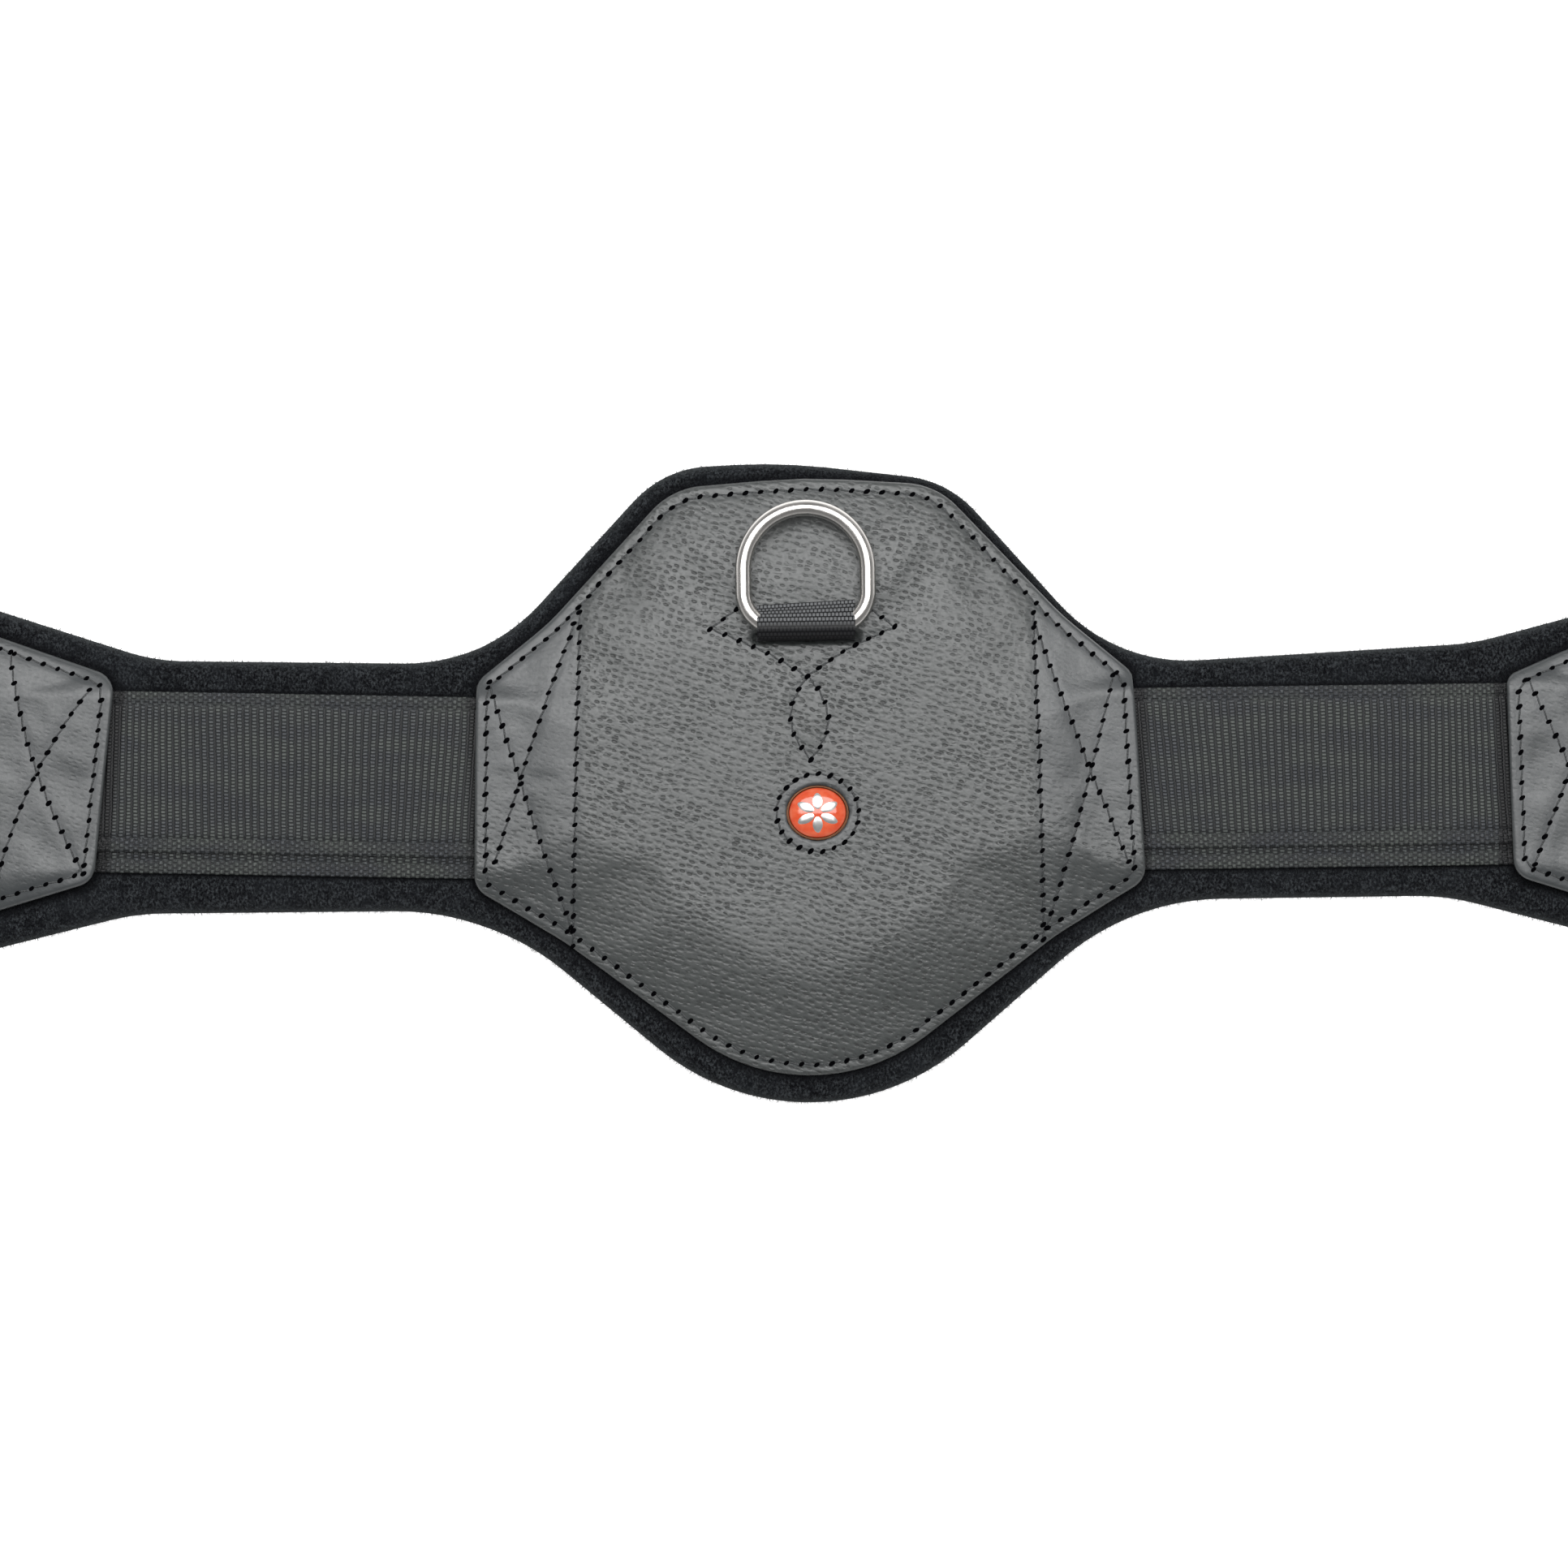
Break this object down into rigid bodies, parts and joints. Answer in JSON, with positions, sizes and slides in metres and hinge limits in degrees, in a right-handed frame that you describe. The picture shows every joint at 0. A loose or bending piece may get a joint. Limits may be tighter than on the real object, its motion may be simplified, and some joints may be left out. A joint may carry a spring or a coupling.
{
  "type": "saddle girth",
  "caption": "Short felt-lined saddle girth with leather panels over woven webbing, a centre D-ring, and roller buckles on elastic at both ends.",
  "frame": {"origin": "middle of the felt side, on the surface that the girth lies on", "axes": "+X along the girth, +Y towards the front edge with the D-ring, +Z out of the leather side"},
  "size_m": [0.744, 0.1627, 0.0208],
  "materials": {
    "leather": "pebbled, grey-black",
    "felt": "thick black felt",
    "foam": "soft closed-cell foam",
    "web": "ribbed woven webbing",
    "tape": "fine ribbed tape",
    "elastic": "woven elastic",
    "board": "stiffening board",
    "steel": "satin nickel",
    "bronze": "dark bronze",
    "resin": "clear domed resin"
  },
  "bodies": {
    "centre": {"centre_lining": "felt", "centre_foam": "foam", "centre_web_lower": "web", "centre_web_upper": "web", "centre_panel": "leather", "centre_filler": "board", "ring_tape_tail": "tape", "badge_cup": "bronze", "badge_dome": "resin", "badge_washer": "steel"},
    "d_ring": {"d_ring": "steel", "ring_tape_loop": "tape"},
    "left_wing": {"left_lining": "felt", "left_foam": "foam", "left_buckle_guard": "felt", "left_web_lower": "web", "left_web_upper": "web", "left_panel": "leather", "left_front_elastic": "elastic", "left_rear_elastic": "elastic"},
    "left_front_carriage": {"left_front_elastic_loop": "elastic"},
    "left_front_frame": {"left_front_buckle_frame": "steel"},
    "left_front_tongue": {"left_front_tongue": "steel"},
    "left_front_roller": {"left_front_roller": "steel"},
    "left_rear_carriage": {"left_rear_elastic_loop": "elastic"},
    "left_rear_frame": {"left_rear_buckle_frame": "steel"},
    "left_rear_tongue": {"left_rear_tongue": "steel"},
    "left_rear_roller": {"left_rear_roller": "steel"},
    "right_wing": {"right_lining": "felt", "right_foam": "foam", "right_buckle_guard": "felt", "right_web_lower": "web", "right_web_upper": "web", "right_panel": "leather", "right_front_elastic": "elastic", "right_rear_elastic": "elastic"},
    "right_front_carriage": {"right_front_elastic_loop": "elastic"},
    "right_front_frame": {"right_front_buckle_frame": "steel"},
    "right_front_tongue": {"right_front_tongue": "steel"},
    "right_front_roller": {"right_front_roller": "steel"},
    "right_rear_carriage": {"right_rear_elastic_loop": "elastic"},
    "right_rear_frame": {"right_rear_buckle_frame": "steel"},
    "right_rear_tongue": {"right_rear_tongue": "steel"},
    "right_rear_roller": {"right_rear_roller": "steel"}
  },
  "joints": [
    {"name": "d_ring_swing", "type": "hinge", "parent": "centre", "child": "d_ring", "pos_m": [0, 0.0406, 0.0174], "axis": [1, 0, 0], "range_deg": [0, 175]},
    {"name": "left_wing_fold", "type": "hinge", "parent": "centre", "child": "left_wing", "pos_m": [-0.135, 0, 0], "axis": [0, -1, 0], "range_deg": [0, 60]},
    {"name": "left_front_stretch", "type": "slide", "parent": "left_wing", "child": "left_front_carriage", "axis": [-1, 0, 0], "range_m": [0, 0.02], "deforming": ["left_front_elastic"]},
    {"name": "left_front_buckle_tilt", "type": "hinge", "parent": "left_front_carriage", "child": "left_front_frame", "pos_m": [-0.322, 0.026, 0.00825], "axis": [0, 1, 0], "range_deg": [0, 70]},
    {"name": "left_front_tongue_lift", "type": "hinge", "parent": "left_front_frame", "child": "left_front_tongue", "pos_m": [-0.322, 0.026, 0.00825], "axis": [0, 1, 0], "range_deg": [0, 65]},
    {"name": "left_front_roller_spin", "type": "hinge", "parent": "left_front_frame", "child": "left_front_roller", "pos_m": [-0.358, 0.026, 0.00825], "axis": [0, 1, 0], "continuous": true},
    {"name": "left_rear_stretch", "type": "slide", "parent": "left_wing", "child": "left_rear_carriage", "axis": [-1, 0, 0], "range_m": [0, 0.02], "deforming": ["left_rear_elastic"]},
    {"name": "left_rear_buckle_tilt", "type": "hinge", "parent": "left_rear_carriage", "child": "left_rear_frame", "pos_m": [-0.322, -0.026, 0.00825], "axis": [0, 1, 0], "range_deg": [0, 70]},
    {"name": "left_rear_tongue_lift", "type": "hinge", "parent": "left_rear_frame", "child": "left_rear_tongue", "pos_m": [-0.322, -0.026, 0.00825], "axis": [0, 1, 0], "range_deg": [0, 65]},
    {"name": "left_rear_roller_spin", "type": "hinge", "parent": "left_rear_frame", "child": "left_rear_roller", "pos_m": [-0.358, -0.026, 0.00825], "axis": [0, 1, 0], "continuous": true},
    {"name": "right_wing_fold", "type": "hinge", "parent": "centre", "child": "right_wing", "pos_m": [0.135, 0, 0], "axis": [0, 1, 0], "range_deg": [0, 60]},
    {"name": "right_front_stretch", "type": "slide", "parent": "right_wing", "child": "right_front_carriage", "axis": [1, 0, 0], "range_m": [0, 0.02], "deforming": ["right_front_elastic"]},
    {"name": "right_front_buckle_tilt", "type": "hinge", "parent": "right_front_carriage", "child": "right_front_frame", "pos_m": [0.322, 0.026, 0.00825], "axis": [0, -1, 0], "range_deg": [0, 70]},
    {"name": "right_front_tongue_lift", "type": "hinge", "parent": "right_front_frame", "child": "right_front_tongue", "pos_m": [0.322, 0.026, 0.00825], "axis": [0, -1, 0], "range_deg": [0, 65]},
    {"name": "right_front_roller_spin", "type": "hinge", "parent": "right_front_frame", "child": "right_front_roller", "pos_m": [0.358, 0.026, 0.00825], "axis": [0, 1, 0], "continuous": true},
    {"name": "right_rear_stretch", "type": "slide", "parent": "right_wing", "child": "right_rear_carriage", "axis": [1, 0, 0], "range_m": [0, 0.02], "deforming": ["right_rear_elastic"]},
    {"name": "right_rear_buckle_tilt", "type": "hinge", "parent": "right_rear_carriage", "child": "right_rear_frame", "pos_m": [0.322, -0.026, 0.00825], "axis": [0, -1, 0], "range_deg": [0, 70]},
    {"name": "right_rear_tongue_lift", "type": "hinge", "parent": "right_rear_frame", "child": "right_rear_tongue", "pos_m": [0.322, -0.026, 0.00825], "axis": [0, -1, 0], "range_deg": [0, 65]},
    {"name": "right_rear_roller_spin", "type": "hinge", "parent": "right_rear_frame", "child": "right_rear_roller", "pos_m": [0.358, -0.026, 0.00825], "axis": [0, 1, 0], "continuous": true}
  ]
}
